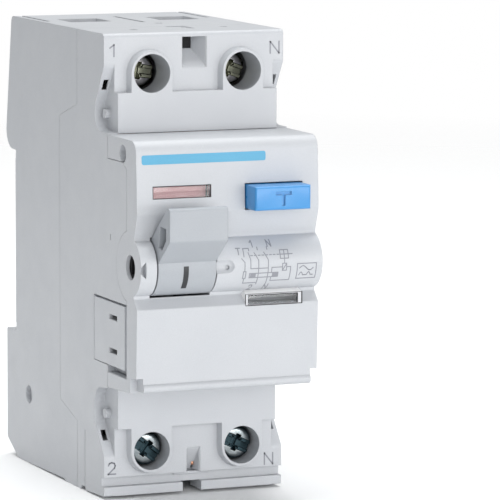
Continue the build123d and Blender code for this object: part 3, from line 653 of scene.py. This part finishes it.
def model_screw():
    """Clamp screw at the origin: head with a slot across a sunk cross recess, threaded shank."""
    screw = start_screw_head()
    soften(screw, before(NEAR), HEAD_SHOULDER, 4)
    choose(screw, faces=lambda place, normal: normal.y < -0.99 and place.y < 0.05)
    bpy.ops.mesh.inset(thickness=FACE_INSET * MM, depth=FACE_DISH * MM)
    bpy.ops.object.mode_set(mode="OBJECT")
    carve_recess(screw)
    choose(screw, faces=lambda place, normal: normal.y > 0.99 and place.y > HEAD_LENGTH - NEAR)
    bpy.ops.mesh.inset(thickness=(HEAD_RADIUS - THREAD_ROOT) * MM)
    crest = SHANK_RADIUS / THREAD_ROOT
    along = HEAD_LENGTH
    for turn in range(THREAD_TURNS):
        for factor in (crest, 1 / crest):
            pull(0, THREAD_PITCH / 2, 0)
            along += THREAD_PITCH / 2
            widen((factor, 1, factor), (0, along, 0))
    pull(0, TIP_LENGTH, 0)
    widen((TIP_TAPER, 1, TIP_TAPER), (0, along + TIP_LENGTH, 0))
    bpy.ops.object.mode_set(mode="OBJECT")
    return screw


def make_screws():
    """The four clamp screws, copied from one pattern."""
    pattern = model_screw()
    for name, (x, front, z, turn, coat) in SCREWS.items():
        pick(pattern)
        bpy.ops.object.duplicate(linked=False)
        screw = bpy.context.object
        screw.location = (x * MM, front * MM, z * MM)
        screw.rotation_euler = (0, radians(turn), 0)
        settle("clamp_screw_" + name)
        finish_piece(screw, coat, "screw_" + name, ["terminal_screw_" + name], angle=35)
    bpy.data.objects.remove(pattern)


# ---- test button --------------------------------------------------------------------
BUTTON_X = (3.45, 14.4)
BUTTON_Z = (12.4, 16.8)
BUTTON_FRONT = -68.55
FLANGE_FRONT = -61.4
FLANGE_REAR = -60.4
FLANGE_EXTRA = 1.6
BUTTON_REAR = -58.4
BUTTON_FRONT_ROUND = 0.45
BUTTON_SIDE_ROUND = 0.2
LETTER_BAR = ((7.4, 10.5), (15.15, 15.75))
LETTER_STEM = ((8.72, 9.28), (13.2, 15.3))
LETTER_DEPTH = 0.4


def make_test_button():
    """Push button with rounded front edges, a flange behind, and a T sunk into its face."""
    button = start_box("push_button", BUTTON_X, (BUTTON_FRONT, FLANGE_FRONT), BUTTON_Z)
    middle = (sum(BUTTON_X) / 2, FLANGE_FRONT, sum(BUTTON_Z) / 2)
    width, height = BUTTON_X[1] - BUTTON_X[0], BUTTON_Z[1] - BUTTON_Z[0]
    flange = ((width + FLANGE_EXTRA) / width, 1, (height + FLANGE_EXTRA) / height)
    choose(button, faces=facing_back)
    pull(0, 0, 0)
    widen(flange, middle)
    pull(0, FLANGE_REAR - FLANGE_FRONT, 0)
    pull(0, 0, 0)
    widen([1 / factor for factor in flange], middle)
    pull(0, BUTTON_REAR - FLANGE_REAR, 0)
    soften(button, before(BUTTON_FRONT + NEAR), BUTTON_FRONT_ROUND, 4)
    soften(button, lambda first, second: abs(first.y - second.y) > 5, BUTTON_SIDE_ROUND, 3)
    for name, (x, z) in (("bar_cutter", LETTER_BAR), ("stem_cutter", LETTER_STEM)):
        carve(button, start_box(name, x, (BUTTON_FRONT - SPARE, BUTTON_FRONT + LETTER_DEPTH), z))
    finish_piece(button, "button_blue", "test_button", ["test_button"])


# ---- windows ------------------------------------------------------------------------
# limits of each piece in mm along X, Y and Z, and of a ring's hole along X and Z
POSITION_LENS = ((-14.62, -3.38), (-64.0, -63.5), (14.83, 17.06))
# the dark ring round the pane and the dark strip at the right end of the flag are painted shade for the gaps
# there
POSITION_SHADE_RING = ((-14.63, -3.37), (-64.04, -63.9), (14.82, 17.08))
POSITION_SHADE_RING_HOLE = ((-14.55, -3.5), (14.91, 16.96))
POSITION_SHADE_STRIP = ((-3.62, -3.37), (-61.75, -61.53), (14.82, 17.08))
FAULT_BEZEL = ((3.41, 14.42), (-64.3, -62.5), (-5.3, -3.26))
FAULT_BEZEL_HOLE = ((3.83, 13.72), (-66, -61), (-5.18, -3.38))
BEZEL_ROOT_RISE = (1.86, 0.6)  # of its lower and its upper corners
BEZEL_ROOT_SLANT = (-0.35, 0.4)  # of its lower and its upper left corner, towards the right
FAULT_LENS = ((3.86, 13.69), (-64.2, -63.8), (-5.16, -3.4))
# the dark ring inside the bezel and the dark frame round it are painted shade for the gaps there
FAULT_SHADE_RING = ((3.83, 13.72), (-64.28, -64.18), (-5.18, -3.38))
FAULT_SHADE_RING_HOLE = ((3.88, 13.52), (-5.12, -3.52))
FAULT_SHADE_GAP = ((3.36, 14.62), (-64.27, -64.1), (-5.4, -3.2))
FAULT_SHADE_GAP_HOLE = ((3.6, 14.3), (-5.2, -3.5))
FAULT_TUNNEL = ((3.87, 14.13), (-62.4, -60.65), (-5.03, -3.32))
FAULT_TUNNEL_HOLE = ((3.97, 14.03), (-4.93, -3.42))
LENS_ROUND = 0.12
BEZEL_ROUND = 0.08
SHADE_STRIP_ROUND = 0.1


def make_ring(name, outer, hole, material):
    """A flat frame that faces the front, from its outer limits and those of its hole."""
    ring = start_box(name, *outer)
    front, rear = outer[1]
    carve(ring, start_box("hole_cutter", hole[0], (front - SPARE, rear + SPARE), hole[1]))
    finish_piece(ring, material)


def make_lens(name, limits, replaced=()):
    """A clear pane with softened front edges."""
    lens = start_box(name, *limits)
    soften(lens, before(limits[1][0] + NEAR), LENS_ROUND, 3)
    finish_piece(lens, "clear_window", replaced=replaced)


def make_position_window():
    """Thin pane over the contact-position flag, in a dark ring of painted shade, with a dark strip of
    painted shade at the right.
    """
    make_lens("position_lens", POSITION_LENS, ["position_window"])
    make_ring("position_shade_ring", POSITION_SHADE_RING, POSITION_SHADE_RING_HOLE, "dark_plastic")
    shade_strip = start_box("position_shade_strip", *POSITION_SHADE_STRIP)
    in_front = before(-61.7)
    soften(
        shade_strip, lambda first, second: in_front(first, second) and max(first.x, second.x) < -3.5,
        SHADE_STRIP_ROUND, 2)
    finish_piece(shade_strip, "dark_plastic")


def make_fault_bezel():
    """White bezel that stands in the lower valley of the cover, its root following the slopes."""
    front, root = FAULT_BEZEL[1][0] + NEAR, FAULT_BEZEL[1][1] - 0.1
    bezel = start_box("fault_bezel", *FAULT_BEZEL)
    shift(bezel, lambda place: place.y > root and place.z < -5, (0, 0, BEZEL_ROOT_RISE[0]))
    shift(bezel, lambda place: place.y > root and place.z > -3.3, (0, 0, BEZEL_ROOT_RISE[1]))
    shift(
        bezel, lambda place: place.y > root and place.z < -3.3 and place.x < 4,
        (BEZEL_ROOT_SLANT[0], 0, 0))
    shift(
        bezel, lambda place: place.y > root and place.z > -3.3 and place.x < 4,
        (BEZEL_ROOT_SLANT[1], 0, 0))
    soften(bezel, before(front), BEZEL_ROUND, 3)
    carve(bezel, start_box("hole_cutter", *FAULT_BEZEL_HOLE))
    finish_piece(bezel, "clear_frame", replaced=["fault_window"])


def make_fault_window():
    """Bezel, pane, a dark ring inside the bezel and a dark frame round it as painted shade in the gaps, and
    the tunnel to the fault flag.
    """
    make_fault_bezel()
    make_lens("fault_lens", FAULT_LENS)
    make_ring("fault_shade_ring", FAULT_SHADE_RING, FAULT_SHADE_RING_HOLE, "dark_plastic")
    make_ring("fault_shade_gap", FAULT_SHADE_GAP, FAULT_SHADE_GAP_HOLE, "dark_plastic")
    make_ring("fault_tunnel", FAULT_TUNNEL, FAULT_TUNNEL_HOLE, "flag_dark")


# ---- notches between the poles ------------------------------------------------------
FUNNEL = ((-2.39, 2.39), (-47.6, -44.3), (36.5, 42.49))
FUNNEL_HOLLOW = ((-2.5, 2.45), (-47.7, -44.2), (36.85, 42.6))
# a dark block of painted shade where the notch opens into the dark inside
NOTCH_SHADE_BLOCK = ((-2.38, 1.3), (-44.25, -43.4), (39.3, 42.47))
LINER = ((-1.34, 1.34), (-47.6, -44.7), (-38.4, -33.9))
LINER_HOLLOW = ((-1.5, 1.2), (-47.7, -45.0), (-38.45, -34.0))
SLIT = ((0.36, 0.72), (-47, -44.8), (-38.2, -37.55))
# a dark back of painted shade behind the slit
SLIT_SHADE_BACK = ((0.37, 0.71), (-44.95, -44.65), (-38.19, -37.56))
STRIP_END = ((0.3, 0.72), (-46.0, -45.2), (-37.5, -36.85))
# how far the corners at the back of each hollow move
FUNNEL_RIGHT_SHIFT = (-1.9, 0, 0)
FUNNEL_LOWER_SHIFT = (0, 0, 3.4)
LINER_UPPER_SHIFT = (0, -2.6, 0)
LINER_RIGHT_SHIFT = (-0.7, 0, 0)
NOTCH_SHADE_BLOCK_ROUND = 0.2
SLIT_SHADE_BACK_ROUND = 0.04
STRIP_ROUND = 0.1


def make_upper_notch():
    """Funnel that narrows towards the upper left, and a dark block of painted shade at its end, where the
    notch opens into the dark inside.
    """
    funnel = start_box("notch_funnel", *FUNNEL)
    hollow = start_box("hollow_cutter", *FUNNEL_HOLLOW)
    shift(hollow, lambda place: place.y > -45 and place.x > 0, FUNNEL_RIGHT_SHIFT)
    shift(hollow, lambda place: place.y > -45 and place.z < 40, FUNNEL_LOWER_SHIFT)
    carve(funnel, hollow)
    finish_piece(funnel, "housing_grey")
    shade_block = start_box("notch_shade_block", *NOTCH_SHADE_BLOCK)
    soften(shade_block, beyond(-43.5), NOTCH_SHADE_BLOCK_ROUND, 2)
    finish_piece(shade_block, "dark_plastic")


def make_lower_notch():
    """Liner with a sloping floor, the slit in it with a dark back of painted shade, and the end of a copper
    strip above the slit.
    """
    liner = start_box("notch_liner", *LINER)
    hollow = start_box("hollow_cutter", *LINER_HOLLOW)
    shift(hollow, lambda place: place.y > -45.5 and place.z > -35, LINER_UPPER_SHIFT)
    shift(hollow, lambda place: place.y > -45.5 and place.x > 0, LINER_RIGHT_SHIFT)
    carve(liner, hollow)
    carve(liner, start_box("slit_cutter", *SLIT))
    finish_piece(liner, "housing_grey")
    back = start_box("slit_shade_back", *SLIT_SHADE_BACK)
    soften(back, before(-44.9), SLIT_SHADE_BACK_ROUND, 2)
    finish_piece(back, "dark_plastic")
    strip = start_box("strip_end", *STRIP_END)
    soften(strip, before(-45.9), STRIP_ROUND, 3)
    finish_piece(strip, "copper")


# ---- toggle -------------------------------------------------------------------------
DRUM_AXIS = (-61.0, 2.3)
SHIELD_RADIUS = 5.28
SHIELD_WALL = 0.8
SHIELD_X = (-13.11, -10.69)
SHIELD_TOP_END = -60.01  # along Y
SHIELD_REAR_END = 4.3  # along Z
SHIELD_SIDES = 72
PAST_SHIELD_X = (-20, -5)


def start_rod(name, radius, x):
    """A cylinder on the toggle's axis, in mm."""
    clear_selection()
    middle = ((x[0] + x[1]) / 2 * MM, DRUM_AXIS[0] * MM, DRUM_AXIS[1] * MM)
    bpy.ops.mesh.primitive_cylinder_add(
        vertices=SHIELD_SIDES, radius=radius * MM, depth=(x[1] - x[0]) * MM, location=middle,
        rotation=(0, radians(90), 0),
    )
    return settle(name)


def make_drum_shield():
    """Curved shield over the open back of the toggle's drum, which comes to the front when off."""
    shield = start_rod("drum_shield", SHIELD_RADIUS, SHIELD_X)
    carve(shield, start_rod("core_cutter", SHIELD_RADIUS - SHIELD_WALL, PAST_SHIELD_X))
    carve(shield, start_box("front_cutter", PAST_SHIELD_X, (-70, SHIELD_TOP_END), (-10, 15)))
    carve(shield, start_box("lower_cutter", PAST_SHIELD_X, (-70, -50), (-10, SHIELD_REAR_END)))
    finish_piece(shield, "toggle_grey", "toggle")


# ---- printed marks ------------------------------------------------------------------
BLOCK_FACE = -47.7  # front of the terminal blocks
COVER_START = -70  # marks for the cover start here and are pressed on to it
TOGGLE_START = -75
INK = 0.03
INK_OFFSET = 0.4  # from -1, wholly below the surface, to 1, wholly above it
LINE = 0.17
GRID_STEP = 0.35
STROKE_OVERLAP = 0.8  # how far a stroke runs past its places, in line widths
SIGN_LINE = 0.2
POLE_MARK_LINE = 0.27
POLE_MARK_HEIGHT = 2.15

SIGNS = {
    # strokes through places on a grid one unit wide and high
    "1": [[(0.05, 0.72), (0.55, 0.98), (0.55, 0.0)]],
    "2": [[(0.04, 0.74), (0.16, 0.93), (0.42, 1.0), (0.72, 0.93), (0.84, 0.72), (0.76, 0.52),
           (0.0, 0.0), (0.9, 0.0)]],
    "N": [[(0.0, 0.0), (0.0, 1.0), (0.8, 0.0), (0.8, 1.0)]],
    "T": [[(0.0, 1.0), (0.9, 1.0)], [(0.45, 1.0), (0.45, 0.0)]],
}


def lay_on(mark, node, axis="y"):
    """Press a flat mark on to a node's surface, along +Y or along -Z."""
    settings = {
        "use_project_" + axis: True, "use_positive_direction": axis == "y",
        "use_negative_direction": axis == "z",
    }
    use_modifier(mark, "SHRINKWRAP", target=nodes[node], wrap_method="PROJECT", **settings)


def ink(mark, material, body="housing"):
    """Give a flat mark the thickness of ink, partly sunk in, and its material."""
    use_modifier(mark, "SOLIDIFY", thickness=INK * MM, offset=INK_OFFSET)
    finish_piece(mark, material, body)


def stroke(start, end, y, width=LINE):
    """A straight printed line between two places given as X and Z."""
    clear_selection()
    length = hypot(end[0] - start[0], end[1] - start[1])
    slope = atan2(end[1] - start[1], end[0] - start[0])
    centre = ((start[0] + end[0]) / 2 * MM, y * MM, (start[1] + end[1]) / 2 * MM)
    bpy.ops.mesh.primitive_grid_add(
        x_subdivisions=max(1, round(length / GRID_STEP)), y_subdivisions=1, size=1, location=centre,
        rotation=(radians(90), -slope, 0),
    )
    return settle("stroke", ((length + width * STROKE_OVERLAP) * MM, width * MM, 1))


def join(name, parts):
    """One piece from several strokes."""
    clear_selection()
    for part in parts:
        part.select_set(True)
    bpy.context.view_layer.objects.active = parts[0]
    bpy.ops.object.join()
    return settle(name)


def draw_line(points, y, width=LINE):
    """Printed strokes through a row of places."""
    return [stroke(first, second, y, width) for first, second in zip(points, points[1:])]


def draw_lines(rows, y):
    """Printed strokes through several rows of places."""
    return [part for points in rows for part in draw_line(points, y)]


def draw_sign(sign, left, base, width, height, y, thickness):
    """The strokes of one numeral or letter."""
    parts = []
    for places in SIGNS[sign]:
        points = [(left + across * width, base + up * height) for across, up in places]
        parts += draw_line(points, y, thickness)
    return parts


def rectangle(x, z):
    """The corners of a printed frame, ending where it starts."""
    return [(x[0], z[0]), (x[1], z[0]), (x[1], z[1]), (x[0], z[1]), (x[0], z[0])]


STRIPE_MIDDLE = (-4.65, 21.9)
STRIPE_SIZE = (24.1, 1.72)
STRIPE_CORNER = 0.4


def make_stripe():
    """Blue stripe with round ends across the head of the cover."""
    clear_selection()
    bpy.ops.mesh.primitive_plane_add(
        size=1, location=(STRIPE_MIDDLE[0] * MM, COVER_START * MM, STRIPE_MIDDLE[1] * MM),
        rotation=(radians(90), 0, 0))
    stripe = settle("blue_stripe", (STRIPE_SIZE[0] * MM, STRIPE_SIZE[1] * MM, 1))
    bpy.ops.object.mode_set(mode="EDIT")
    bpy.ops.mesh.select_mode(type="VERT")
    bpy.ops.mesh.select_all(action="SELECT")
    bpy.ops.mesh.bevel(offset=STRIPE_CORNER * MM, segments=6, affect="VERTICES")
    bpy.ops.object.mode_set(mode="OBJECT")
    lay_on(stripe, "front_cover")
    ink(stripe, "print_blue")


POLE_LINES = [
    # for each pole, the feed and the swung contact with its lead
    [(5.1, 5.0), (5.1, 5.45)],
    [(4.35, 4.55), (5.1, 3.2), (5.1, -1.3)],
    [(7.0, 5.0), (7.0, 5.45)],
    [(6.25, 4.55), (7.0, 3.2), (7.0, -1.3)],
]
TEST_LINES = [
    # test branch: push button, contact and resistor
    [(2.3, 5.3), (3.4, 5.3), (3.4, 4.9)],
    [(2.3, 5.3), (2.3, 3.9)],
    [(3.2, 4.6), (3.55, 3.3), (3.55, 1.7), (7.0, 1.7)],
    [(1.8, 3.6), (2.4, 2.9), (2.4, 1.2)],
    rectangle((2.15, 2.65), (-0.1, 1.2)),
    [(2.4, -0.1), (2.4, -1.0), (5.1, -1.0)],
]
DASHES = [[(3.6 + index * 0.74, 4.05), (4.0 + index * 0.74, 4.05)] for index in range(8)]
RELEASE_LINES = [
    # latch, release, transformer and the leads between them
    rectangle((9.4, 11.0), (3.3, 4.8)),
    [(10.2, 3.3), (10.2, 4.8)],
    [(9.4, 4.05), (11.8, 4.05)],
    [(10.2, 3.3), (10.2, 2.4)],
    rectangle((9.8, 10.6), (1.1, 2.4)),
    [(9.8, 1.1), (10.6, 2.4)],
    rectangle((3.4, 9.0), (0.0, 0.8)),
    [(7.7, 0.8), (7.7, 1.75), (9.8, 1.75)],
    [(10.6, 1.75), (11.4, 1.75), (11.4, -0.75), (7.7, -0.75), (7.7, 0.0)],
]
CORE_ENDS = [((3.8, 0.4), (4.4, 0.4)), ((8.1, 0.4), (8.7, 0.4))]
CORE_END_HEIGHT = 0.62
CIRCUIT_SIGNS = [
    # sign, left, base, width, height
    ("T", 0.9, 4.3, 0.9, 1.1), ("1", 3.9, 5.5, 0.7, 1.05), ("N", 7.2, 5.5, 0.9, 1.05),
    ("2", 3.9, -2.45, 0.75, 1.0), ("N", 6.9, -2.45, 0.9, 1.0),
]


def make_circuit():
    """Line drawing of the circuit on the bulge: two poles, transformer, test branch and release."""
    parts = draw_lines(POLE_LINES + TEST_LINES + DASHES + RELEASE_LINES, COVER_START)
    parts += [stroke(start, end, COVER_START, CORE_END_HEIGHT) for start, end in CORE_ENDS]
    for place in CIRCUIT_SIGNS:
        parts += draw_sign(*place, COVER_START, SIGN_LINE)
    circuit = join("circuit_drawing", parts)
    lay_on(circuit, "front_cover")
    ink(circuit, "print_grey")


WAVE_FRAME = ((12.75, 16.5), (-0.6, 2.2))
WAVE_LEFT = 13.2
WAVE_STEP = 0.15
WAVE_STEPS = 19


def wave(base, height, half_period, rectified=False):
    """Places along a sine wave, or along its upper halves."""
    row = []
    for step in range(WAVE_STEPS):
        level = sin(step * pi / half_period)
        row.append((WAVE_LEFT + WAVE_STEP * step, base + height * (max(0.0, level) if rectified else level)))
    return row


def make_wave_box():
    """Framed wave forms beside the circuit."""
    waves = [wave(1.35, 0.42, 9), wave(0.05, 0.55, 5, rectified=True)]
    box = join("wave_box", draw_lines([rectangle(*WAVE_FRAME)] + waves, COVER_START))
    lay_on(box, "front_cover")
    ink(box, "print_grey")


ON_MARK = ((-9.05, -1.0), (-9.05, 2.35))
ON_MARK_WIDTH = 1.0
OFF_MARK_PLACE = (-8.8, -59.6, 12)
OFF_MARK_RADIUS = 1.5
OFF_MARK_HOLE = 0.62  # of the radius


def make_toggle_marks():
    """A stroke on the toggle's drum for on, and a ring further round it for off."""
    mark = stroke(*ON_MARK, TOGGLE_START, ON_MARK_WIDTH)
    mark.name = "on_mark"
    lay_on(mark, "toggle")
    ink(mark, "print_black", "toggle")
    clear_selection()
    bpy.ops.mesh.primitive_circle_add(
        vertices=32, radius=OFF_MARK_RADIUS * MM, fill_type="NOTHING",
        location=[place * MM for place in OFF_MARK_PLACE])
    ring = settle("off_mark")
    choose(ring, edges=lambda first, second: True)
    pull(0, 0, 0)
    widen((OFF_MARK_HOLE, OFF_MARK_HOLE, 1), OFF_MARK_PLACE)
    bpy.ops.mesh.normals_make_consistent(inside=False)
    bpy.ops.object.mode_set(mode="OBJECT")
    lay_on(ring, "toggle", "z")
    ink(ring, "print_black", "toggle")


POLE_MARKS = {
    # name: (sign, left, base, width)
    "pole_mark_1": ("1", -16.65, 39.25, 1.6),
    "pole_mark_n_upper": ("N", 15.15, 39.0, 2.2),
    "pole_mark_2": ("2", -16.95, -37.85, 1.65),
    "pole_mark_n_lower": ("N", 14.35, -38.1, 2.1),
}


def make_pole_marks():
    """Numbers and letters beside the screw holes."""
    for name, place in POLE_MARKS.items():
        mark = join(name, draw_sign(*place, POLE_MARK_HEIGHT, BLOCK_FACE, POLE_MARK_LINE))
        ink(mark, "print_grey")


# ---- making -------------------------------------------------------------------------
make_camera()
make_studio()
make_floor()
dress_cad_nodes()
make_screws()
make_test_button()
make_position_window()
make_fault_window()
make_upper_notch()
make_lower_notch()
make_drum_shield()
make_stripe()
make_circuit()
make_wave_box()
make_toggle_marks()
make_pole_marks()
